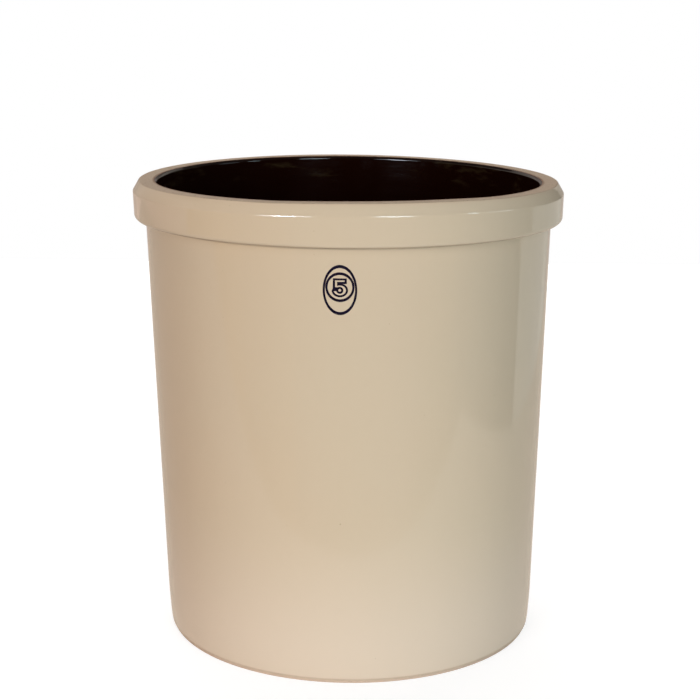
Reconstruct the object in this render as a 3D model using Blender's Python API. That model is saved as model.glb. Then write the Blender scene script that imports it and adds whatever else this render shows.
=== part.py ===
"""A five gallon stoneware preserving crock, free standing and open at the top.

The crock is one turned clay body with a collar round its mouth, a dark glaze poured inside
and a pale glaze on the outside. The land on top of the collar and the foot are bare clay.
Lengths are in metres. The origin is the centre of the base and +Z is the crock's own axis.
"""

import math

import bmesh
import bpy
from mathutils import Vector

# Clay body: height, floor and wall
HEIGHT = 0.343
FLOOR_THICKNESS = 0.0133
FLOOR_FILLET = 0.018
WALL_THICKNESS = 0.0084
WALL_FOOT_RADIUS = 0.13975
WALL_TOP_RADIUS = 0.14985

# Clay body: foot, where the wall draws in a little above a small chamfer
FOOT_TUCK = 0.0009
FOOT_TUCK_HEIGHT = 0.0240
FOOT_TUCK_FILLET = 0.3000
FOOT_CHAMFER_WIDTH = 0.0011
FOOT_CHAMFER_HEIGHT = 0.0021
FOOT_EDGE_FILLET = 0.0004
FOOT_TOP_FILLET = 0.0015

# Clay body: collar round the mouth, which stands out from the wall and widens a little upwards
COLLAR_DEPTH = 0.0283
COLLAR_OVERHANG = 0.00835
COLLAR_FLARE = 0.0006
COLLAR_ROOT_FILLET = 0.0025
COLLAR_HEEL_FILLET = 0.0026

# Clay body: bevel from the collar's shoulder up to the flat land
BEVEL_DROP = 0.0083
BEVEL_WIDTH = 0.00455
SHOULDER_FILLET = 0.0045
LAND_EDGE_FILLET = 0.0006

# Clay body: lip between the land and the inside of the wall
LIP_DROP = 0.0018
LIP_WIDTH = 0.0016
LIP_FILLET = 0.0030

# Glaze coats
OUTER_GLAZE_THICKNESS = 0.0004
LINING_THICKNESS = 0.0004
SEAT_GAP = 0.0003
BARE_BAND_HEIGHT = 0.0008
OUTER_WIPE_BACK = 0.0009
LIP_WIPE_BACK = 0.0011

# Facets: sides of each turned piece, and the most that one chord of a fillet turns
TURN_SIDES = 64
CHORD_TURN = math.radians(18.0)
FILLET_RUN_SHARE = 0.45
MERGE_DISTANCE = 0.000001
SHARP_ANGLE = math.radians(32.0)

# Colours are linear, as a Principled shader takes them
CLAY_COLOUR = (0.386, 0.292, 0.209, 1.0)
OUTER_GLAZE_COLOUR = (0.630, 0.510, 0.367, 1.0)
LINING_COLOUR = (0.012, 0.005, 0.003, 1.0)
CLAY_ROUGHNESS = 0.85
GLAZE_ROUGHNESS = 0.12
LINING_ROUGHNESS = 0.08


def clear_scene():
    for thing in list(bpy.data.objects):
        bpy.data.objects.remove(thing, do_unlink=True)


def finish_material(name, colour, roughness):
    material = bpy.data.materials.new(name)
    material.use_nodes = True
    shader = material.node_tree.nodes["Principled BSDF"]
    shader.inputs["Base Color"].default_value = colour
    shader.inputs["Roughness"].default_value = roughness
    shader.inputs["Metallic"].default_value = 0.0
    material.diffuse_color = colour
    return material


def wall_radius(height):
    """Outside of the straight clay wall, which widens evenly up to the collar's underside."""
    rise = height / (HEIGHT - COLLAR_DEPTH)
    return WALL_FOOT_RADIUS + (WALL_TOP_RADIUS - WALL_FOOT_RADIUS) * rise


def foot_radius():
    """Outside of the clay where the chamfer begins, drawn in from the wall's own line."""
    return wall_radius(FOOT_CHAMFER_HEIGHT) - FOOT_TUCK


# An outline is a list of corners, each a point (radius, height) and the fillet that rounds it.
# It runs up the outside, over the land and down the inside, with the clay on its left.

def outside_corners():
    """From the foot's chamfer up the wall and round the collar to the outer edge of the land."""
    underside = HEIGHT - COLLAR_DEPTH
    heel_radius = WALL_TOP_RADIUS + COLLAR_OVERHANG
    shoulder_radius = heel_radius + COLLAR_FLARE
    return [
        (Vector((foot_radius(), FOOT_CHAMFER_HEIGHT)), FOOT_TOP_FILLET),
        (Vector((wall_radius(FOOT_TUCK_HEIGHT), FOOT_TUCK_HEIGHT)), FOOT_TUCK_FILLET),
        (Vector((WALL_TOP_RADIUS, underside)), COLLAR_ROOT_FILLET),
        (Vector((heel_radius, underside)), COLLAR_HEEL_FILLET),
        (Vector((shoulder_radius, HEIGHT - BEVEL_DROP)), SHOULDER_FILLET),
        (Vector((shoulder_radius - BEVEL_WIDTH, HEIGHT)), LAND_EDGE_FILLET),
    ]


def inside_corners():
    """From the inner edge of the land over the lip, down the wall and across the floor."""
    lip_height = HEIGHT - LIP_DROP
    lip_radius = wall_radius(lip_height) - WALL_THICKNESS
    floor_radius = wall_radius(FLOOR_THICKNESS) - WALL_THICKNESS
    return [
        (Vector((lip_radius + LIP_WIDTH, HEIGHT)), LAND_EDGE_FILLET),
        (Vector((lip_radius, lip_height)), LIP_FILLET),
        (Vector((floor_radius, FLOOR_THICKNESS)), FLOOR_FILLET),
        (Vector((0.0, FLOOR_THICKNESS)), 0.0),
    ]


def base_corners():
    """The flat base, from its centre to the foot's chamfer."""
    return [
        (Vector((0.0, 0.0)), 0.0),
        (Vector((foot_radius() - FOOT_CHAMFER_WIDTH, 0.0)), FOOT_EDGE_FILLET),
    ]


def away_from_clay(start, end):
    """Unit vector square to a straight run, on the side away from the clay."""
    run = (end - start).normalized()
    return Vector((run.y, -run.x))


def turn_at(corners, index):
    """Angle by which the outline turns at a corner, positive where the clay bulges outwards."""
    first = corners[index][0] - corners[index - 1][0]
    second = corners[index + 1][0] - corners[index][0]
    cross = first.x * second.y - first.y * second.x
    return math.atan2(cross, first.dot(second))


def fit_fillets(corners):
    """Limits each fillet to what the straight runs beside it can hold."""
    fitted = [corners[0]]
    for index in range(1, len(corners) - 1):
        point, fillet = corners[index]
        shorter_run = min((point - corners[index - 1][0]).length, (corners[index + 1][0] - point).length)
        half_turn = abs(turn_at(corners, index)) / 2.0
        largest = FILLET_RUN_SHARE * shorter_run / math.tan(half_turn)
        fitted.append((point, min(fillet, largest)))
    fitted.append(corners[-1])
    return fitted


def offset_corners(corners, distance):
    """Moves each straight run away from the clay, keeping every fillet on its own centre."""
    moved = []
    for index, (point, fillet) in enumerate(corners):
        if index == 0:
            shift = away_from_clay(point, corners[1][0])
        elif index == len(corners) - 1:
            shift = away_from_clay(corners[index - 1][0], point)
        else:
            before = away_from_clay(corners[index - 1][0], point)
            after = away_from_clay(point, corners[index + 1][0])
            shift = (before + after) / (1.0 + before.dot(after))
            bulge = math.copysign(distance, turn_at(corners, index))
            fillet = max(fillet + bulge, 0.0)
        moved.append((point + shift * distance, fillet))
    return moved


def rounded(corners):
    """Points of the outline with each corner replaced by the chords of its fillet."""
    points = [corners[0][0]]
    for index in range(1, len(corners) - 1):
        point, fillet = corners[index]
        turn = turn_at(corners, index)
        if fillet == 0.0:
            points.append(point)
            continue
        inward = away_from_clay(corners[index - 1][0], point) * -math.copysign(fillet, turn)
        run = (point - corners[index - 1][0]).normalized()
        start = point - run * fillet * math.tan(abs(turn) / 2.0)
        centre = start + inward
        chords = math.ceil(abs(turn) / CHORD_TURN)
        for step in range(chords + 1):
            angle = turn * step / chords
            arm = start - centre
            turned = Vector((
                arm.x * math.cos(angle) - arm.y * math.sin(angle),
                arm.x * math.sin(angle) + arm.y * math.cos(angle),
            ))
            points.append(centre + turned)
    points.append(corners[-1][0])
    return points


def body_corners():
    return fit_fillets(base_corners() + outside_corners() + inside_corners())


def start_at_height(corners, height):
    """Drops what lies below a height on the first run of an outline."""
    low, high = corners[0][0], corners[1][0]
    share = (height - low.y) / (high.y - low.y)
    return [(low.lerp(high, share), 0.0)] + corners[1:]


def wipe_end(corners, length):
    """Shortens the last run of an outline by a length."""
    before, last = corners[-2][0], corners[-1][0]
    run = (last - before).normalized()
    return corners[:-1] + [(last - run * length, 0.0)]


def wipe_start(corners, length):
    """Shortens the first run of an outline by a length."""
    first, after = corners[0][0], corners[1][0]
    run = (after - first).normalized()
    return [(first + run * length, 0.0)] + corners[1:]


def coat_points(corners, thickness):
    """Cross-section of a coat of even thickness that lies on an outline of the body."""
    near = rounded(offset_corners(corners, SEAT_GAP))
    far = rounded(offset_corners(corners, SEAT_GAP + thickness))
    return far + near[::-1]


def turned_piece(name, points, closed, material):
    """Spins a cross-section round the crock's axis into one solid."""
    mesh = bpy.data.meshes.new(name)
    section = bmesh.new()
    verts = [section.verts.new((point.x, 0.0, point.y)) for point in points]
    edges = [section.edges.new(pair) for pair in zip(verts, verts[1:])]
    if closed:
        edges.append(section.edges.new((verts[-1], verts[0])))
    bmesh.ops.spin(
        section,
        geom=verts + edges,
        cent=(0.0, 0.0, 0.0),
        axis=(0.0, 0.0, 1.0),
        angle=math.tau,
        steps=TURN_SIDES,
        use_merge=True,
    )
    bmesh.ops.remove_doubles(section, verts=section.verts, dist=MERGE_DISTANCE)
    bmesh.ops.recalc_face_normals(section, faces=section.faces)
    section.to_mesh(mesh)
    section.free()
    mesh.shade_smooth()
    mesh.set_sharp_from_angle(angle=SHARP_ANGLE)
    mesh.materials.append(material)
    piece = bpy.data.objects.new(name, mesh)
    bpy.context.scene.collection.objects.link(piece)
    return piece


def make_clay_body():
    """Floor, wall, foot and collar, turned as one piece of stoneware."""
    clay = finish_material("bare_stoneware", CLAY_COLOUR, CLAY_ROUGHNESS)
    return turned_piece("clay_body", rounded(body_corners()), False, clay)


def make_outer_glaze():
    """Pale coat from above the bare foot, round the collar to just short of the land."""
    glaze = finish_material("pale_glaze", OUTER_GLAZE_COLOUR, GLAZE_ROUGHNESS)
    body = body_corners()
    first = len(base_corners())
    side = body[first:first + len(outside_corners())]
    above_foot = start_at_height(side, FOOT_CHAMFER_HEIGHT + BARE_BAND_HEIGHT)
    covered = wipe_end(above_foot, OUTER_WIPE_BACK)
    return turned_piece("outer_glaze", coat_points(covered, OUTER_GLAZE_THICKNESS), True, glaze)


def from_axis(points):
    """Starts a cross-section that touches the axis twice at one touch and ends it at the other."""
    on_axis = [index for index, point in enumerate(points) if abs(point.x) < MERGE_DISTANCE]
    last_touch = on_axis[-1]
    return points[last_touch:] + points[:last_touch]


def make_lining_glaze():
    """Dark coat from just inside the land, over the lip, down the wall and across the floor."""
    glaze = finish_material("dark_glaze", LINING_COLOUR, LINING_ROUGHNESS)
    hollow = body_corners()[-len(inside_corners()):]
    covered = wipe_start(hollow, LIP_WIPE_BACK)
    lining = coat_points(covered, LINING_THICKNESS)
    return turned_piece("lining_glaze", from_axis(lining), False, glaze)


def main():
    clear_scene()
    make_clay_body()
    make_outer_glaze()
    make_lining_glaze()


main()
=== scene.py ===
import math

import bmesh
import bpy
from mathutils import Matrix, Vector


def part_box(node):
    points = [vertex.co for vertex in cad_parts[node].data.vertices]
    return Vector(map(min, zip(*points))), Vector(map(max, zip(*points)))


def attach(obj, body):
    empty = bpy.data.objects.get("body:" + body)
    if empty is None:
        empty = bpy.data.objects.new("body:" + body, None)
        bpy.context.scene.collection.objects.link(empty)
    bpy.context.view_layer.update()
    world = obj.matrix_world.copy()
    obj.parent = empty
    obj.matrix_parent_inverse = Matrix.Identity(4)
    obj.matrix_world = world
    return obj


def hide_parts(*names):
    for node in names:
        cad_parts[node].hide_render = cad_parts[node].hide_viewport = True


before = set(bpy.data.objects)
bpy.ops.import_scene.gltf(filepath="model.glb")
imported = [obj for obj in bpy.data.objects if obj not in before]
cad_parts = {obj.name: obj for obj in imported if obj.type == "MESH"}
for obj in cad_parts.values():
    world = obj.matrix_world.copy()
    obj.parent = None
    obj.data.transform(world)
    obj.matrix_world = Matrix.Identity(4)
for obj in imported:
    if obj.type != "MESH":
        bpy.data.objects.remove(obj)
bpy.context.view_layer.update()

# Clay body
# One piece of stoneware turned on the wheel: a flat floor, a tapering wall and a thick collar. Its
# flat land and its chamfered foot stay bare: matte, warm grey-brown clay with fine dark specks.

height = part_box("clay_body")[1].z
floor_thickness = 0.0133
floor_fillet = 0.018
wall_thickness = 0.0084
wall_foot_radius = 0.13975
wall_top_radius = 0.14985
foot_tuck = 0.0009
foot_tuck_height = 0.0240
foot_tuck_fillet = 0.3000
foot_chamfer_width = 0.0011
foot_chamfer_height = 0.0021
foot_edge_fillet = 0.0004
foot_top_fillet = 0.0015
collar_depth = 0.0283
collar_overhang = 0.00835
collar_flare = 0.0006
collar_root_fillet = 0.0025
collar_heel_fillet = 0.0026
bevel_drop = 0.0079
bevel_width = 0.00455
shoulder_fillet = 0.0026
land_edge_fillet = 0.0004
least_fillet = 0.0001
lip_drop = 0.0010
lip_width = 0.0010
lip_fillet = 0.0008

# The glaze faces stand this far out of the bare section, and all but a thin coat of it is clay
coat_face = 0.0007
coat_thickness = 0.0002
clay_under_coat = coat_face - coat_thickness

# How the crock came off the wheel and out of the kiln: it leans a little, its wall is slightly
# wavy, and its rim dips at two sides and stands a little high at the front right
lean = -0.0108
waviness = 0.0010
waves_per_metre = 11.0
wave_seed = 3.0
rim_dip = 0.0014
rim_high_side = math.radians(8.0)
rim_rise = 0.0008
rim_rise_side = math.radians(12.0)
rim_rise_spread = math.radians(34.0)

# How closely the outline is followed
turn_sides = 240
row_step = 0.005
row_hold = 0.0004
chord_turn = math.radians(6.0)
weld_distance = 0.000002
turned_edge_angle = math.radians(40.0)

cool_clay = (0.375, 0.288, 0.205, 1.0)
warm_clay = (0.415, 0.322, 0.228, 1.0)
foot_clay = (0.540, 0.420, 0.311, 1.0)
chamfer_clay = (0.645, 0.490, 0.373, 1.0)
pale_grain = (0.560, 0.450, 0.340, 1.0)
dark_speck = (0.150, 0.095, 0.060, 1.0)
lining_stain = (0.170, 0.085, 0.045, 1.0)
foot_clay_fades = (0.0050, 0.0080)
chamfer_clay_fades = (0.0018, 0.0026)
specks_grow = (0.0030, 0.0100)
stain_reach = 0.0024
stain_fade = 0.0018
stain_inside = wall_top_radius - wall_thickness + stain_reach
stain_comes = (height - 0.0050, height - 0.0030)
rings_fade = (0.0, 0.0010)
tool_ring = 0.0021


def wall_radius(level):
    """Outside of the clay wall at a height above the base."""
    return wall_foot_radius + (wall_top_radius - wall_foot_radius) * level / (height - collar_depth)


def foot_radius():
    return wall_radius(foot_chamfer_height) - foot_tuck


def section_corners():
    """Corners (place, fillet) of the section: base, up the outside, land, down the inside."""
    underside = height - collar_depth
    heel_radius = wall_top_radius + collar_overhang
    shoulder_radius = heel_radius + collar_flare
    lip_radius = wall_radius(height - lip_drop) - wall_thickness
    floor_radius = wall_radius(floor_thickness) - wall_thickness
    corners = [
        (0.0, 0.0, 0.0),
        (foot_radius() - foot_chamfer_width, 0.0, foot_edge_fillet),
        (foot_radius(), foot_chamfer_height, foot_top_fillet),
        (wall_radius(foot_tuck_height), foot_tuck_height, foot_tuck_fillet),
        (wall_top_radius, underside, collar_root_fillet),
        (heel_radius, underside, collar_heel_fillet),
        (shoulder_radius, height - bevel_drop, shoulder_fillet),
        (shoulder_radius - bevel_width, height, land_edge_fillet),
        (lip_radius + lip_width, height, land_edge_fillet),
        (lip_radius, height - lip_drop, lip_fillet),
        (floor_radius, floor_thickness, floor_fillet),
        (0.0, floor_thickness, 0.0),
    ]
    return [(Vector((radius, level)), fillet) for radius, level, fillet in corners]


def square_to(start, end):
    """Unit vector square to a straight run, on its right-hand side, which is away from the clay."""
    run = (end - start).normalized()
    return Vector((run.y, -run.x))


def turn_at(corners, index):
    """Signed angle by which the outline turns at a corner, positive where the clay bulges out."""
    first = corners[index][0] - corners[index - 1][0]
    second = corners[index + 1][0] - corners[index][0]
    return math.atan2(first.x * second.y - first.y * second.x, first.dot(second))


def moved_out(corners, distances):
    """Moves each straight run away from the clay by its own distance, and rounds to suit."""
    moved = [(corners[0][0] + square_to(corners[0][0], corners[1][0]) * distances[0], 0.0)]
    for index in range(1, len(corners) - 1):
        place, fillet = corners[index]
        before, after = distances[index - 1], distances[index]
        side_before = square_to(corners[index - 1][0], place)
        side_after = square_to(place, corners[index + 1][0])
        shift = Matrix((side_before, side_after)).inverted() @ Vector((before, after))
        bulge = math.copysign((before + after) / 2.0, turn_at(corners, index))
        moved.append((place + shift, max(fillet + bulge, least_fillet)))
    moved.append((corners[-1][0] + square_to(corners[-2][0], corners[-1][0]) * distances[-1], 0.0))
    return moved


def bend_points(corners, index):
    """Points of the arc that rounds one corner, or the corner itself where it stays sharp."""
    place, fillet = corners[index]
    before = (place - corners[index - 1][0]).normalized()
    turn = turn_at(corners, index)
    reach = fillet * math.tan(abs(turn) / 2.0)
    if reach == 0.0:
        return [place]
    arm = square_to(corners[index - 1][0], place) * math.copysign(fillet, turn)
    centre = place - before * reach - arm
    chords = max(2, math.ceil(abs(turn) / chord_turn))
    return [centre + Matrix.Rotation(turn * step / chords, 2) @ arm for step in range(chords + 1)]


def drawn(corners):
    """Points of the outline: an arc at each corner, and rows along the runs between them."""
    points = [corners[0][0]]
    inner_bends = [bend_points(corners, index) for index in range(1, len(corners) - 1)]
    for bend in inner_bends + [[corners[-1][0]]]:
        start, end = points[-1], bend[0]
        length = (end - start).length
        if length > 4.0 * row_hold:
            rows = math.ceil((length - 2.0 * row_hold) / row_step)
            held = (length - 2.0 * row_hold) / rows
            marks = [row_hold + held * row for row in range(rows + 1)]
            points += [start.lerp(end, mark / length) for mark in marks]
        points += bend
    return points


class Wire:
    """A node's output socket. Sums and products of wires add the Math nodes that they need."""

    def __init__(self, tree, socket):
        self.tree = tree
        self.socket = socket

    def __add__(self, other):
        return maths("ADD", self, other)

    def __radd__(self, other):
        return maths("ADD", other, self)

    def __sub__(self, other):
        return maths("SUBTRACT", self, other)

    def __rsub__(self, other):
        return maths("SUBTRACT", other, self)

    def __mul__(self, other):
        return maths("MULTIPLY", self, other)

    def __rmul__(self, other):
        return maths("MULTIPLY", other, self)

    def __truediv__(self, other):
        return maths("DIVIDE", self, other)

    def __rtruediv__(self, other):
        return maths("DIVIDE", other, self)


def node(tree, kind, settings=None, sockets=None, output=0):
    """Adds a node, sets it up, feeds its sockets with values or wires, and gives one output."""
    made = tree.nodes.new(kind)
    for name, value in (settings or {}).items():
        setattr(made, name, value)
    for name, value in (sockets or {}).items():
        for part in value if isinstance(value, list) else [value]:
            if isinstance(part, Wire):
                tree.links.new(part.socket, made.inputs[name])
            else:
                made.inputs[name].default_value = part
    return Wire(tree, made.outputs[output]) if made.outputs else None


def maths(operation, *terms):
    """A Math node on wires and numbers, in the tree of the wires."""
    tree = next(term.tree for term in terms if isinstance(term, Wire))
    return node(tree, "ShaderNodeMath", {"operation": operation}, dict(enumerate(terms)))


def split(tree, vector):
    """The three parts of a vector as wires."""
    whole = node(tree, "ShaderNodeSeparateXYZ", None, {0: vector})
    return [Wire(tree, part) for part in whole.socket.node.outputs]


def joined(tree, x, y, z):
    return node(tree, "ShaderNodeCombineXYZ", None, {0: x, 1: y, 2: z})


def step_up(tree, value, low, high):
    """0 below low, 1 above high, and a soft rise between them."""
    sockets = {"Value": value, "From Min": low, "From Max": high}
    return node(tree, "ShaderNodeMapRange", {"interpolation_type": "SMOOTHSTEP"}, sockets)


def tree_with(name, inputs):
    """A Geometry Nodes group with a geometry input and output and the named inputs as wires."""
    tree = bpy.data.node_groups.new(name, "GeometryNodeTree")
    tree.interface.new_socket("Geometry", in_out="OUTPUT", socket_type="NodeSocketGeometry")
    for label, kind in [("Geometry", "Geometry")] + inputs:
        tree.interface.new_socket(label, in_out="INPUT", socket_type="NodeSocket" + kind)
    given = node(tree, "NodeGroupInput").socket.node
    return tree, [Wire(tree, socket) for socket in given.outputs if socket.name]


def close_tree(tree, geometry, material):
    """Ends a group in Realize Instances and Set Material."""
    real = node(tree, "GeometryNodeRealizeInstances", None, {"Geometry": geometry})
    sockets = {"Geometry": real, "Material": material}
    finished = node(tree, "GeometryNodeSetMaterial", None, sockets)
    node(tree, "NodeGroupOutput", None, {0: finished})
    return tree


def floats(*labels):
    return [(label, "Float") for label in labels]


def wave_share(tree, place, amount, waves, seed):
    """How far the wall at a place stands out of round, as a share of its radius."""
    sockets = {"Vector": place, "W": seed, "Scale": waves, "Detail": 1.0, "Roughness": 0.4}
    swing = node(tree, "ShaderNodeTexNoise", {"noise_dimensions": "4D"}, sockets)
    return (swing - 0.5) * 2.0 * amount + 1.0


def wheel_group():
    """Turns an outline, whose points are (radius, 0, height), round the axis of the wheel."""
    inputs = [("Sides", "Int")] + floats("Lean", "Waviness", "Waves per metre", "Seed")
    inputs += floats("Rim dip", "Rim high side", "Rim rise", "Rim rise side")
    tree, wires = tree_with("turned_on_the_wheel", inputs + [("Finish", "Material")])
    outline, sides, leaning, amount, waves, seed, dip, high_side, rise, rise_side, finish = wires
    settings = {"component": "MESH"}
    count = node(tree, "GeometryNodeAttributeDomainSize", settings, {"Geometry": outline})
    sockets = {"Size X": count - 1.0, "Size Y": sides}
    sockets |= {"Vertices X": count, "Vertices Y": sides + 1.0}
    sheet = node(tree, "GeometryNodeMeshGrid", None, sockets)
    place = node(tree, "GeometryNodeInputPosition")
    across, along, _ = split(tree, place)
    row = maths("ROUND", across + (count - 1.0) / 2.0)
    settings = {"data_type": "FLOAT_VECTOR", "domain": "POINT"}
    sockets = {"Geometry": outline, "Value": place, "Index": row}
    radius, _, level = split(tree, node(tree, "GeometryNodeSampleIndex", settings, sockets))
    angle = (along / sides + 0.5) * -math.tau
    east, north = maths("COSINE", angle), maths("SINE", angle)
    true_place = joined(tree, radius * east, radius * north, level)
    out = radius * wave_share(tree, true_place, amount, waves, seed)
    bearing = angle + math.pi / 2.0
    sag = (1.0 - maths("COSINE", (bearing - high_side) * 2.0)) * 0.5 * dip
    towards_rise = maths("COSINE", bearing - rise_side)
    swell = step_up(tree, towards_rise, math.cos(rim_rise_spread), 1.0) * rise
    rim_level = level + (swell - sag) * step_up(tree, level, height - collar_depth, height)
    wavy_place = joined(tree, out * east + leaning * level, out * north, rim_level)
    sockets = {"Geometry": sheet, "Position": wavy_place}
    turned = node(tree, "GeometryNodeSetPosition", None, sockets)
    sockets = {"Geometry": turned, "Distance": weld_distance}
    welded = node(tree, "GeometryNodeMergeByDistance", None, sockets)
    smooth = node(tree, "GeometryNodeSetShadeSmooth", None, {"Geometry": welded})
    return close_tree(tree, smooth, finish)


def made_by(group, name, points, edges, values, edge_angle):
    """Runs a group on a wire of points and keeps the result as a plain closed mesh."""
    wire = bpy.data.meshes.new(name + "_wire")
    wire.from_pydata(points, edges, [])
    piece = bpy.data.objects.new(name, wire)
    bpy.context.scene.collection.objects.link(piece)
    modifier = piece.modifiers.new(group.name, "NODES")
    modifier.node_group = group
    for item in group.interface.items_tree:
        if item.in_out == "INPUT" and item.name in values:
            modifier[item.identifier] = values[item.name]
    bpy.context.view_layer.update()
    seen = piece.evaluated_get(bpy.context.evaluated_depsgraph_get())
    mesh = bpy.data.meshes.new_from_object(seen)
    piece.modifiers.clear()
    piece.data = mesh
    solid = bmesh.new()
    solid.from_mesh(mesh)
    bmesh.ops.recalc_face_normals(solid, faces=solid.faces)
    solid.to_mesh(mesh)
    solid.free()
    mesh.set_sharp_from_angle(angle=edge_angle)
    return piece


kiln_shape = {
    "Lean": lean,
    "Waviness": waviness,
    "Waves per metre": waves_per_metre,
    "Seed": wave_seed,
}
rim_shape = {
    "Rim dip": rim_dip,
    "Rim high side": rim_high_side,
    "Rim rise": rim_rise,
    "Rim rise side": rim_rise_side,
}
wheel = wheel_group()


def turned_piece(name, points, closed, material):
    """A piece of the crock from its outline, with the crock's own lean and waves."""
    loop = points + points[:1] if closed else points
    edges = [(index, index + 1) for index in range(len(loop) - 1)]
    values = {"Sides": turn_sides, **kiln_shape, **rim_shape, "Finish": material}
    places = [(point.x, 0.0, point.y) for point in loop]
    return made_by(wheel, name, places, edges, values, turned_edge_angle)


def new_finish(name, ior):
    """A material with its shader, and the place on the piece that its patterns follow."""
    material = bpy.data.materials.new(name)
    material.use_nodes = True
    tree = material.node_tree
    shader = tree.nodes["Principled BSDF"]
    shader.inputs["IOR"].default_value = ior
    place = node(tree, "ShaderNodeTexCoord", None, None, "Object")
    return material, tree, shader, place


def plug(tree, shader, **wires):
    """Links wires to the shader's sockets; a name's underscore stands for a space."""
    for name, wire in wires.items():
        tree.links.new(wire.socket, shader.inputs[name.replace("_", " ")])


def tinted(tree, mask, first, second):
    """Colour that goes from the first to the second as the mask goes from 0 to 1."""
    sockets = {0: mask, 6: first, 7: second}
    return node(tree, "ShaderNodeMix", {"data_type": "RGBA"}, sockets, 2)


def noise(tree, place, waves, detail=2.0, roughness=0.5):
    """Cloudy pattern about 0.5, with so many waves per metre."""
    sockets = {"Vector": place, "Scale": waves, "Detail": detail, "Roughness": roughness}
    return node(tree, "ShaderNodeTexNoise", None, sockets)


def specks(tree, place, cells, size, chance):
    """Scattered dots: so many cells per metre, a share of which hold a dot of the given size."""
    near = node(tree, "ShaderNodeTexVoronoi", None, {"Vector": place, "Scale": cells}, "Distance")
    picked, _, _ = split(tree, Wire(tree, near.socket.node.outputs["Color"]))
    dot = 1.0 - step_up(tree, near, size * 0.5, size)
    return dot * step_up(tree, picked, 1.0 - chance, 1.0001 - chance)


def drawn_out(tree, place, sideways, upwards):
    """The same place with its scale changed sideways and upwards, which draws a pattern out."""
    sockets = {0: place, 1: (sideways, sideways, upwards)}
    return node(tree, "ShaderNodeVectorMath", {"operation": "MULTIPLY"}, sockets)


def bumped(tree, relief, strength, distance, before=None):
    sockets = {"Height": relief, "Strength": strength, "Distance": distance}
    if before is not None:
        sockets["Normal"] = before
    return node(tree, "ShaderNodeBump", None, sockets)


clay, tree, shader, place = new_finish("bare_stoneware", ior=1.45)
x, y, level = split(tree, place)
x = x - lean * level
radius = maths("SQRT", x * x + y * y)
cloud = noise(tree, place, waves=22.0, detail=3.0)
grain = noise(tree, place, waves=700.0, detail=3.0, roughness=0.65)
colour = tinted(tree, cloud, cool_clay, warm_clay)
colour = tinted(tree, 1.0 - step_up(tree, level, *foot_clay_fades), colour, foot_clay)
colour = tinted(tree, 1.0 - step_up(tree, level, *chamfer_clay_fades), colour, chamfer_clay)
colour = tinted(tree, step_up(tree, grain, 0.42, 0.75) * 0.30, colour, pale_grain)
dots = specks(tree, place, cells=420.0, size=0.30, chance=0.30)
colour = tinted(tree, dots * (step_up(tree, level, *specks_grow) * 0.45 + 0.15), colour, dark_speck)
stain = step_up(tree, level, *stain_comes)
stain = stain * (1.0 - step_up(tree, radius, stain_inside, stain_inside + stain_fade))
colour = tinted(tree, stain * 0.85, colour, lining_stain)
plug(tree, shader, Base_Color=colour, Roughness=grain * 0.2 + 0.72)
turning = maths("SINE", radius * (math.tau / tool_ring))
rings = turning * noise(tree, place, waves=25.0) * (1.0 - step_up(tree, level, *rings_fade))
fine = bumped(tree, grain, strength=0.5, distance=0.00025)
lumps = noise(tree, place, waves=160.0)
lumpy = bumped(tree, lumps, strength=0.4, distance=0.0004, before=fine)
plug(tree, shader, Normal=bumped(tree, rings, strength=0.6, distance=0.0002, before=lumpy))


def runs_at(foot, outside, land, lip, inside):
    """How far each run of the section is moved out.

    The base stays, and the chamfer, five runs outside, the land, the lip, wall and floor follow."""
    return [0.0, foot] + [outside] * 5 + [land, lip, inside, inside]


section = section_corners()
clay_runs = runs_at(
    foot=clay_under_coat / 2.0,
    outside=clay_under_coat,
    land=0.0,
    lip=-coat_thickness,
    inside=clay_under_coat,
)
clay_body = turned_piece("clay_body_visual", drawn(moved_out(section, clay_runs)), False, clay)
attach(clay_body, "root")
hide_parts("clay_body")

# Lining glaze
# A dark brown, nearly black glaze poured inside, over the lip and down the wall to the floor. It is
# glossy and pools smooth, and where it thins out at the lip the clay shows through red-brown.

coat_gap = 0.00003
coat_edge_rounding = 0.0008
lining_wipe_back = 0.00005
lining_corners = slice(8, 12)

deep_brown = (0.0055, 0.0011, 0.0004, 1.0)
lighter_brown = (0.0088, 0.0022, 0.0009, 1.0)
# Colour of the pale streaks painted near the top of the lining as reflections
streak_reflection_brown = (0.0260, 0.0170, 0.0080, 1.0)
thin_brown = (0.150, 0.075, 0.038, 1.0)
streak_reflection_grows = (height - 0.024, height - 0.012)
thin_grows = (height - 0.0003, height + 0.0003)

dark, tree, shader, place = new_finish("dark_glaze", ior=1.55)
_, _, level = split(tree, place)
cloud = noise(tree, place, waves=30.0, detail=3.0)
colour = tinted(tree, cloud, deep_brown, lighter_brown)
# Painted reflection: pale horizontal streaks near the top of the lining
streaks = noise(tree, drawn_out(tree, place, 1.0, 3.0), waves=34.0, detail=4.0, roughness=0.6)
streak_reflection = step_up(tree, streaks, 0.56, 0.72) * step_up(tree, level, *streak_reflection_grows)
colour = tinted(tree, streak_reflection * 0.8, colour, streak_reflection_brown)
ragged_level = level + noise(tree, place, waves=90.0) * 0.0006
colour = tinted(tree, step_up(tree, ragged_level, *thin_grows), colour, thin_brown)
plug(tree, shader, Base_Color=colour, Roughness=cloud * 0.06 + 0.04)
rings = noise(tree, drawn_out(tree, place, 0.2, 1.0), waves=95.0)
throwing = bumped(tree, rings, strength=0.30, distance=0.0005)
swells = noise(tree, place, waves=48.0)
ripple = bumped(tree, swells, strength=0.30, distance=0.0006, before=throwing)
orange_peel = noise(tree, place, waves=380.0)
plug(tree, shader, Normal=bumped(tree, orange_peel, strength=0.15, distance=0.0001, before=ripple))


def lengths_along(points):
    """Distance of each point from the start of the outline."""
    lengths = [0.0]
    for before, point in zip(points, points[1:]):
        lengths.append(lengths[-1] + (point - before).length)
    return lengths


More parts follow.
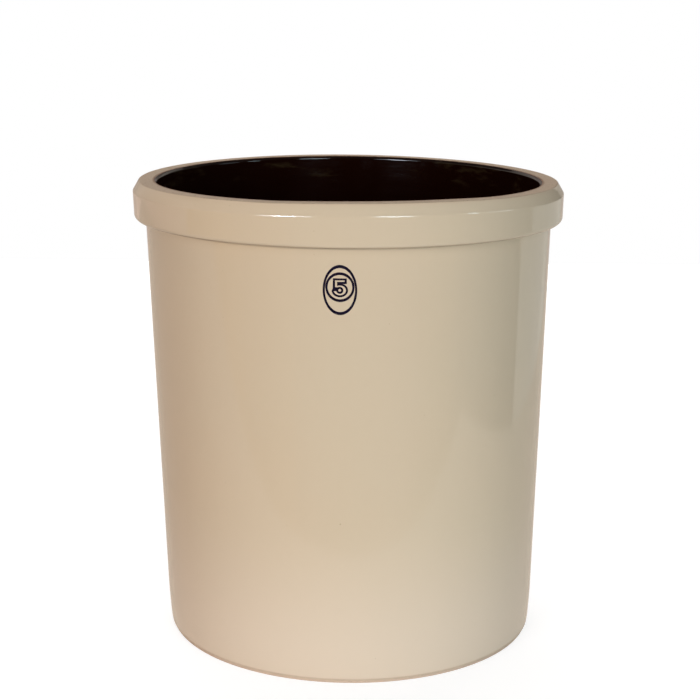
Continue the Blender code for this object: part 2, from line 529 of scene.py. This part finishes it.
def trimmed(points, at_start, at_end):
    """The outline without its first and last lengths."""
    lengths = lengths_along(points)
    total = lengths[-1] - at_end
    kept = []
    for index in range(len(points) - 1):
        low, high = lengths[index], lengths[index + 1]
        if low < at_start < high:
            kept.append(points[index].lerp(points[index + 1], (at_start - low) / (high - low)))
        if at_start <= low <= total:
            kept.append(points[index])
        if low < total < high:
            kept.append(points[index].lerp(points[index + 1], (total - low) / (high - low)))
    return kept if at_end > 0.0 else kept + [points[-1]]


def coat(face, round_start, round_end):
    """Face and back of a thin coat whose free ends swell from nothing, as a glaze's edge does."""
    lengths = lengths_along(face)
    front, back = [], []
    for index, point in enumerate(face):
        before, after = face[max(index - 1, 0)], face[min(index + 1, len(face) - 1)]
        out = square_to(before, after)
        share = 1.0
        if round_start:
            share = min(share, lengths[index] / coat_edge_rounding)
        if round_end:
            share = min(share, (lengths[-1] - lengths[index]) / coat_edge_rounding)
        sunk = (coat_thickness - coat_gap) * (1.0 - math.sqrt(1.0 - (1.0 - share) ** 2))
        front.append(point - out * sunk)
        back.append(point - out * (coat_thickness - coat_gap * 0.5))
    return front, back


face_runs = runs_at(foot=coat_face, outside=coat_face, land=0.0, lip=0.0, inside=coat_face)
face_section = moved_out(section, face_runs)
face = trimmed(drawn(face_section[lining_corners]), lining_wipe_back, 0.0)
front, back = coat(face, round_start=True, round_end=False)
lining = turned_piece("lining_glaze_visual", back[::-1] + front, False, dark)
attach(lining, "root")
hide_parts("lining_glaze")

# Outer glaze
# A pale buff glaze over the outside, from just above the foot round the collar to the outer edge
# of the land. Glossy, a little cloudy, with a few iron specks, and thinner and pinker over edges.

bare_band_height = 0.0017
outer_wipe_back = 0.00015
outer_corners = slice(2, 8)

warm_buff = (0.640, 0.508, 0.362, 1.0)
grey_buff = (0.622, 0.516, 0.376, 1.0)
mottled_buff = (0.585, 0.462, 0.322, 1.0)
stippled_buff = (0.500, 0.395, 0.280, 1.0)
# Colour of the painted bounce light low on the wall
bounce_lit_buff = (0.675, 0.556, 0.432, 1.0)
# Colour of the painted shade and shadow under the collar
shaded_buff = (0.400, 0.300, 0.200, 1.0)
edge_buff = (0.600, 0.458, 0.325, 1.0)
iron_speck = (0.330, 0.235, 0.150, 1.0)
fine_iron_speck = (0.300, 0.210, 0.140, 1.0)

# Painted shade: darker in the root of the collar, where shade falls, and a painted shadow for a
# little way down the wall below it: depths below the collar's underside
root_shade_comes = (-0.0008, 0.0002)
root_shade_goes = (0.0006, 0.0030)
shadow_below_comes = (-0.0014, 0.0)
shadow_below_goes = (0.0010, 0.0085)

# Painted light: it is paler low on the wall, as the table's bounce lights it. It is thin over its
# lower edge, the shoulder and its upper edge: heights above the base
bounce_light_goes = (0.010, 0.130)
lower_edge_goes = (0.0031, 0.0048)
bevel_foot = height - bevel_drop
shoulder_comes = (bevel_foot - 0.0025, bevel_foot)
shoulder_goes = (bevel_foot + 0.0005, bevel_foot + 0.0030)
upper_edge_comes = (height - 0.0012, height)

pale, tree, shader, place = new_finish("pale_glaze", ior=1.5)
_, _, level = split(tree, place)
cloud = noise(tree, place, waves=9.0, detail=3.0)
mottle = noise(tree, place, waves=150.0, detail=3.0)
runs = noise(tree, drawn_out(tree, place, 1.0, 0.12), waves=70.0, detail=3.0, roughness=0.6)
stipple = noise(tree, place, waves=1100.0)
colour = tinted(tree, cloud, warm_buff, grey_buff)
colour = tinted(tree, (mottle + runs) * 0.18, colour, mottled_buff)
colour = tinted(tree, stipple * 0.10, colour, stippled_buff)
# Painted light: paler low on the wall, where the table's bounce falls
colour = tinted(tree, 1.0 - step_up(tree, level, *bounce_light_goes), colour, bounce_lit_buff)
# Painted shade in the root of the collar, and a painted shadow down the wall below it
below = (height - collar_depth) - level
root_shade = step_up(tree, below, *root_shade_comes) * (1.0 - step_up(tree, below, *root_shade_goes))
colour = tinted(tree, root_shade * 0.75, colour, shaded_buff)
shadow_below = step_up(tree, below, *shadow_below_comes) * (1.0 - step_up(tree, below, *shadow_below_goes))
colour = tinted(tree, shadow_below * 0.16, colour, shaded_buff)
shoulder = step_up(tree, level, *shoulder_comes) * (1.0 - step_up(tree, level, *shoulder_goes))
edges = shoulder * 0.25 + step_up(tree, level, *upper_edge_comes)
edges = edges + 1.0 - step_up(tree, level, *lower_edge_goes)
colour = tinted(tree, edges * 0.35, colour, edge_buff)
large_dots = specks(tree, place, cells=45.0, size=0.032, chance=0.35)
colour = tinted(tree, large_dots * 0.45, colour, iron_speck)
small_dots = specks(tree, place, cells=160.0, size=0.055, chance=0.10)
colour = tinted(tree, small_dots * 0.5, colour, fine_iron_speck)
plug(tree, shader, Base_Color=colour, Roughness=mottle * 0.04 + 0.04)
orange_peel = noise(tree, place, waves=420.0)
peeled = bumped(tree, orange_peel, strength=0.10, distance=0.00008)
pinholes = 1.0 - specks(tree, place, cells=90.0, size=0.035, chance=0.25)
pricked = bumped(tree, pinholes, strength=0.35, distance=0.0002, before=peeled)
swells = noise(tree, place, waves=34.0)
plug(tree, shader, Normal=bumped(tree, swells, strength=0.35, distance=0.0003, before=pricked))

face = trimmed(drawn(face_section[outer_corners]), bare_band_height, outer_wipe_back)
front, back = coat(face, round_start=True, round_end=True)
outer_glaze = turned_piece("outer_glaze_visual", front + back[::-1], True, pale)
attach(outer_glaze, "root")
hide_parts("outer_glaze")

# Capacity mark
# A plain numeral five for the gallons, drawn in outline inside a round line and an upright oval
# one. It is printed on the raw glaze in dark blue oxide and fired in, as glossy as the glaze.

mark_bearing = math.radians(-1.98)
mark_level = 0.2854
oval_half_width = 0.0115
oval_half_height = 0.0170
oval_inner_half_width = 0.0100
oval_inner_half_height = 0.0149
ring_half_width = 0.0097
ring_half_height = 0.0101
ring_inner_radius = 0.0082
ring_rise = 0.0020
numeral_line = 0.0014
numeral_top = 0.0060
numeral_side = 0.0046
numeral_bar_foot = 0.0022
numeral_stem_foot = Vector((-0.0048, -0.0009))
bowl_centre = Vector((-0.0001, -0.0021))
bowl_half_width = 0.0055
bowl_half_height = 0.0047
bowl_end = math.radians(-174.0)
bowl_hollow_inside = 0.0024
bowl_hollow_start = math.radians(124.0)
bowl_hollow_end = math.radians(-168.0)
stem_hollow_width = 0.0013
stem_hollow_foot = 0.0
counter_radius = 0.00095
ink_above = 0.00004
ink_depth = 0.00016
ink_step = 0.0005
ink_edge_angle = math.radians(30.0)
ink_thins = (0.35, 0.72)
dense_ink = (0.0016, 0.0008, 0.0110, 1.0)
thin_ink = (0.0048, 0.0034, 0.0290, 1.0)

ink, tree, shader, place = new_finish("mark_blue", ior=1.5)
patches = noise(tree, place, waves=900.0, detail=3.0, roughness=0.6)
colour = tinted(tree, step_up(tree, patches, *ink_thins), dense_ink, thin_ink)
plug(tree, shader, Base_Color=colour, Roughness=patches * 0.06 + 0.06)


def ink_group():
    """Fills closed outlines (along the wall, up the wall) with ink and bends them to the wall."""
    inputs = floats("Ink depth", "Ink above", "Bearing", "Level")
    inputs += floats("Lean", "Waviness", "Waves per metre", "Seed")
    tree, wires = tree_with("printed_on_the_wall", inputs + [("Finish", "Material")])
    outlines, depth, above, bearing, level, leaning, amount, waves, seed, finish = wires
    curves = node(tree, "GeometryNodeMeshToCurve", None, {"Mesh": outlines})
    filled = node(tree, "GeometryNodeFillCurve", None, {"Curve": curves})
    upwards = joined(tree, 0.0, 0.0, 1.0)
    sockets = {"Mesh": filled, "Offset": upwards, "Offset Scale": depth, "Individual": False}
    raised = node(tree, "GeometryNodeExtrudeMesh", None, sockets)
    under = node(tree, "GeometryNodeFlipFaces", None, {"Mesh": filled})
    both = node(tree, "GeometryNodeJoinGeometry", None, {0: [under, raised]})
    sockets = {"Geometry": both, "Distance": weld_distance}
    slab = node(tree, "GeometryNodeMergeByDistance", None, sockets)
    along_wall, up_wall, off_wall = split(tree, node(tree, "GeometryNodeInputPosition"))
    at = up_wall + level
    slope = (wall_top_radius - wall_foot_radius) / (height - collar_depth)
    wall = at * slope + (wall_foot_radius + coat_face)
    angle = along_wall / wall + bearing
    east, south = maths("SINE", angle), maths("COSINE", angle) * -1.0
    true_place = joined(tree, wall * east, wall * south, at)
    out = wall * wave_share(tree, true_place, amount, waves, seed) + off_wall + above - depth
    bent = joined(tree, out * east + leaning * at, out * south, at)
    laid = node(tree, "GeometryNodeSetPosition", None, {"Geometry": slab, "Position": bent})
    return close_tree(tree, laid, finish)


def arc_points(centre, half_width, half_height, start, end):
    """Points of an oval arc, close enough together to bend with the wall."""
    count = math.ceil(abs(end - start) * max(half_width, half_height) / ink_step)
    turns = [start + (end - start) * index / count for index in range(count + 1)]
    reach = [(half_width * math.cos(turn), half_height * math.sin(turn)) for turn in turns]
    return [centre + Vector(step) for step in reach]


def filled_in(corners):
    """Adds points along the straight runs of a closed outline."""
    points = []
    for corner, following in zip(corners, corners[1:] + corners[:1]):
        count = max(1, math.ceil((following - corner).length / ink_step))
        points += [corner.lerp(following, index / count) for index in range(count)]
    return points


def oval_outline(half_width, half_height, centre=Vector((0.0, 0.0))):
    return arc_points(centre, half_width, half_height, 0.0, math.tau)[:-1]


def numeral_outline():
    """Outside of the numeral: round its bar, down its stem and round its bowl."""
    under_bar = math.asin((numeral_bar_foot - bowl_centre.y) / bowl_half_height)
    bowl = arc_points(bowl_centre, bowl_half_width, bowl_half_height, bowl_end, under_bar)
    bar = [
        Vector((numeral_side, numeral_bar_foot)),
        Vector((numeral_side, numeral_top)),
        Vector((-numeral_side, numeral_top)),
    ]
    return filled_in(bar + [numeral_stem_foot] + bowl)


def numeral_hollow():
    """The unprinted middle of the numeral's stroke: bar, stem and bowl, inside an even line."""
    side, top = numeral_side - numeral_line, numeral_top - numeral_line
    wide, tall = bowl_half_width - numeral_line, bowl_half_height - numeral_line
    bar_foot = numeral_bar_foot + numeral_line
    stem_right = stem_hollow_width - side
    bowl_start = math.acos((stem_right - bowl_centre.x) / wide)
    size = (bowl_hollow_inside, bowl_hollow_inside)
    inside = arc_points(bowl_centre, *size, bowl_hollow_start, bowl_hollow_end)
    outside = arc_points(bowl_centre, wide, tall, bowl_hollow_end, bowl_start)
    bar_and_stem = [
        Vector((side, bar_foot)),
        Vector((side, top)),
        Vector((-side, top)),
        Vector((-side, stem_hollow_foot)),
    ]
    return filled_in(bar_and_stem + inside + outside + [Vector((stem_right, bar_foot))])


def closed_edges(outlines):
    """Points and edges of several closed outlines."""
    points, edges = [], []
    for outline in outlines:
        first, count = len(points), len(outline)
        points += [(point.x, point.y, 0.0) for point in outline]
        edges += [(first + index, first + (index + 1) % count) for index in range(count)]
    return points, edges


outlines = [
    oval_outline(oval_half_width, oval_half_height),
    oval_outline(oval_inner_half_width, oval_inner_half_height),
]
ring_and_numeral = [
    oval_outline(ring_half_width, ring_half_height),
    oval_outline(ring_inner_radius, ring_inner_radius),
    numeral_outline(),
    numeral_hollow(),
    oval_outline(counter_radius, counter_radius, bowl_centre),
]
for outline in ring_and_numeral:
    outlines.append([point + Vector((0.0, ring_rise)) for point in outline])
values = {
    "Ink depth": ink_depth,
    "Ink above": ink_above,
    "Bearing": mark_bearing,
    "Level": mark_level,
    **kiln_shape,
    "Finish": ink,
}
points, edges = closed_edges(outlines)
mark = made_by(ink_group(), "capacity_mark", points, edges, values, ink_edge_angle)
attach(mark, "root")

# Studio
# A pale table that ends a little in front of the crock. Broad lamps in front, above and behind
# light the surfaces, and oval gleams and a ring of panels under a dark ceiling only show in the
# glaze. The camera looks down on the rim as the photograph does.

table_corners = [(-1.6, -0.36, 0.0), (0.66, -0.36, 0.0), (0.66, 1.6, 0.0), (-1.6, 1.6, 0.0)]
back_fade = (-0.25, 0.10)
left_fade = (-0.30, -0.10)

# The paper as it lights the crock, as the glaze reflects it, and as the camera sees it
front_paper = (0.80, 0.80, 0.80, 1.0)
back_paper = (0.66, 0.60, 0.54, 1.0)
left_paper = (0.40, 0.31, 0.25, 1.0)
front_glow = (0.74, 0.64, 0.53, 1.0)
back_glow = (0.66, 0.57, 0.48, 1.0)
seen_shade = (0.35, 0.35, 0.35, 1.0)
seen_glow = (0.78, 0.78, 0.78, 1.0)
black = (0.0, 0.0, 0.0, 1.0)
white = (1.0, 1.0, 1.0, 1.0)
room_light = 0.10


def ray_is(tree, kind):
    """1 for rays of one kind and 0 for the rest."""
    return node(tree, "ShaderNodeLightPath", None, None, f"Is {kind} Ray")


def seen_directly(tree):
    """1 for rays from the camera, from a gloss and through glass, and 0 for the light itself."""
    return ray_is(tree, "Camera") + ray_is(tree, "Glossy") + ray_is(tree, "Transmission")


def bare_material(name):
    """A material with an empty tree."""
    material = bpy.data.materials.new(name)
    material.use_nodes = True
    material.node_tree.nodes.clear()
    return material, material.node_tree


def stage_piece(name, points, faces, material):
    """A part of the set, which isn't a piece of the crock."""
    piece = bpy.data.objects.new(name, bpy.data.meshes.new(name))
    piece.data.from_pydata(points, [], faces)
    piece.data.materials.append(material)
    bpy.context.scene.collection.objects.link(piece)
    return piece


paper, tree = bare_material("pale_paper")
across, back, _ = split(tree, node(tree, "ShaderNodeTexCoord", None, None, "Object"))
backwards = step_up(tree, back, *back_fade)
leftwards = 1.0 - step_up(tree, across, *left_fade)
sheet = tinted(tree, leftwards, tinted(tree, backwards, front_paper, back_paper), left_paper)
lit = node(tree, "ShaderNodeBsdfDiffuse", None, {"Color": sheet})
in_gloss = ray_is(tree, "Glossy")
shade = tinted(tree, in_gloss, seen_shade, black)
shaded = node(tree, "ShaderNodeBsdfDiffuse", None, {"Color": shade})
tone = tinted(tree, in_gloss, seen_glow, tinted(tree, backwards, front_glow, back_glow))
glow = node(tree, "ShaderNodeEmission", None, {"Color": tone, "Strength": 1.0})
shown = node(tree, "ShaderNodeAddShader", None, {0: shaded, 1: glow})
mixed = node(tree, "ShaderNodeMixShader", None, {0: seen_directly(tree), 1: lit, 2: shown})
node(tree, "ShaderNodeOutputMaterial", None, {"Surface": mixed})
stage_piece("table", table_corners, [(0, 1, 2, 3)], paper)

panel_distance = 2.5
panel_levels = (-1.2, 0.17, 1.9)
panel_chord = 10
ceiling_height = 2.6
ceiling_glow = (0.06, 0.06, 0.06)
unlit = (0.0, 0.0, 0.0)
side_cream = (0.62, 0.54, 0.48)

# Each group of panels: its first and last azimuth in degrees from the front, and the glow of its
# low and of its high row
panels = [
    (-30, 10, (0.22, 0.16, 0.09), unlit),
    (10, 40, (0.31, 0.19, 0.12), unlit),
    (40, 60, (0.25, 0.15, 0.04), unlit),
    (60, 70, (0.10, 0.05, 0.02), unlit),
    (70, 100, unlit, unlit),
    (100, 110, (0.14, 0.11, 0.08), unlit),
    (110, 150, (0.74, 0.70, 0.63), (0.10, 0.09, 0.08)),
    (150, 170, side_cream, (0.40, 0.36, 0.32)),
    (170, 180, side_cream, (0.20, 0.17, 0.15)),
    (180, 190, side_cream, (0.28, 0.23, 0.21)),
    (190, 210, (0.66, 0.55, 0.48), (0.42, 0.37, 0.33)),
    (210, 270, (0.90, 0.72, 0.62), (0.55, 0.48, 0.42)),
    (270, 300, (0.60, 0.35, 0.10), (0.40, 0.34, 0.25)),
    (300, 330, (0.33, 0.17, 0.03), unlit),
]

soft_white, tree = bare_material("panel_glow")
tone = node(tree, "ShaderNodeAttribute", {"attribute_name": "panel_glow"}, None, "Color")
glow = node(tree, "ShaderNodeEmission", None, {"Color": tone, "Strength": 1.0})
node(tree, "ShaderNodeOutputMaterial", None, {"Surface": glow})

points, faces, glows = [], [], []
for first, last, low_glow, high_glow in panels:
    for azimuth in range(first, last, panel_chord):
        for bottom, top, tint in ((0, 1, low_glow), (1, 2, high_glow)):
            faces.append(tuple(len(points) + corner for corner in range(4)))
            glows.append(tint)
            for turn, level in ((0, bottom), (panel_chord, bottom), (panel_chord, top), (0, top)):
                side = math.radians(azimuth + turn)
                east, south = panel_distance * math.sin(side), panel_distance * math.cos(side)
                points.append((east, -south, panel_levels[level]))
        faces.append((len(points) - 2, len(points) - 1, len(points)))
        glows.append(ceiling_glow)
        points.append((0.0, 0.0, ceiling_height))
surround = stage_piece("surround", points, faces, soft_white)
tones = surround.data.color_attributes.new("panel_glow", "FLOAT_COLOR", "CORNER")
for face in surround.data.polygons:
    for corner in face.loop_indices:
        tones.data[corner].color = (*glows[face.index], 1.0)
surround.visible_camera = False
surround.visible_diffuse = False
surround.visible_transmission = False
surround.visible_shadow = False

world = bpy.data.worlds.new("studio")
world.use_nodes = True
bpy.context.scene.world = world
tree = world.node_tree
tree.nodes.clear()
ambient = node(tree, "ShaderNodeBackground", None, {"Color": white, "Strength": room_light})
backdrop = node(tree, "ShaderNodeBackground", None, {"Color": white, "Strength": 1.0})
mixed = node(tree, "ShaderNodeMixShader", None, {0: seen_directly(tree), 1: ambient, 2: backdrop})
node(tree, "ShaderNodeOutputWorld", None, {"Surface": mixed})

lamp_distance = 2.2
warm = (1.0, 0.93, 0.88)


def soft_lamp(name, azimuth, elevation, width, tall, watts, colour, gleam=False):
    """An area lamp that faces the middle of the crock, with its azimuth measured from the front.

    A gleam is an oval lamp that only shines in the glaze; the others only light the surfaces."""
    data = bpy.data.lights.new(name, "AREA")
    data.shape = "ELLIPSE" if gleam else "RECTANGLE"
    data.size = width
    data.size_y = tall
    data.energy = watts
    data.color = colour
    lamp = bpy.data.objects.new(name, data)
    bpy.context.scene.collection.objects.link(lamp)
    side, up = math.radians(azimuth), math.radians(elevation)
    way = Vector((math.sin(side) * math.cos(up), -math.cos(side) * math.cos(up), math.sin(up)))
    target = Vector((0.0, 0.0, height / 2.0))
    lamp.location = target + way * lamp_distance
    lamp.rotation_euler = way.to_track_quat("Z", "Y").to_euler()
    lamp.visible_camera = False
    lamp.visible_glossy = gleam
    lamp.visible_diffuse = not gleam


# Each lamp: name, azimuth and elevation in degrees, width and height in metres, watts and colour
fills = [
    ("fill_left", -29.0, 14.0, 0.87, 0.70, 25.4, (1.0, 0.892, 0.831)),
    ("fill_right", 27.0, 9.0, 0.87, 0.70, 26.4, (0.78, 0.92, 1.0)),
    ("fill_top", 218.0, 66.0, 2.0, 2.0, 17.0, (1.0, 0.91, 0.88)),
    ("fill_back", 180.0, 25.0, 1.0, 1.0, 15.0, warm),
    ("fill_back_right", 150.0, 25.0, 1.0, 1.0, 14.0, warm),
    ("fill_back_left", 208.0, 25.0, 1.0, 1.0, 9.0, warm),
]
gleams = [
    ("gleam_left", -32.4, 14.0, 0.50, 0.62, 20.0, (0.77, 0.87, 1.0)),
    ("gleam_left_edge", -32.2, 14.0, 1.15, 0.62, 17.0, (0.77, 0.87, 1.0)),
    ("gleam_right", 22.7, 14.0, 0.78, 0.50, 18.0, (0.72, 0.89, 1.0)),
    ("gleam_far_right", 65.0, 14.0, 0.30, 0.50, 3.3, (0.72, 0.93, 1.0)),
    ("gleam_side", 84.0, 14.0, 0.66, 0.50, 2.4, (0.75, 0.90, 1.0)),
]
for fill in fills:
    soft_lamp(*fill)
for gleam in gleams:
    soft_lamp(*gleam, gleam=True)

camera_distance = 1.19715
camera_height = 0.48589
look_yaw = -0.0012
look_down = math.radians(12.958)
look_roll = math.radians(0.467)
lens_pixels = 1610.0
picture_pixels = 700.0

ahead = Vector((
    math.sin(look_yaw) * math.cos(look_down),
    math.cos(look_yaw) * math.cos(look_down),
    -math.sin(look_down),
))
level_right = Vector((math.cos(look_yaw), -math.sin(look_yaw), 0.0))
level_up = level_right.cross(ahead)
right = level_right * math.cos(look_roll) + level_up * math.sin(look_roll)
up = right.cross(ahead)
view = bpy.data.cameras.new("camera")
view.sensor_width = 36.0
view.lens = view.sensor_width * lens_pixels / picture_pixels
view.clip_start = 0.05
view.clip_end = 50.0
camera = bpy.data.objects.new("camera", view)
bpy.context.scene.collection.objects.link(camera)
turned = Matrix((right, up, -ahead)).transposed().to_4x4()
camera.matrix_world = Matrix.Translation((0.0, -camera_distance, camera_height)) @ turned
bpy.context.scene.camera = camera
bpy.context.scene.view_settings.view_transform = "Standard"
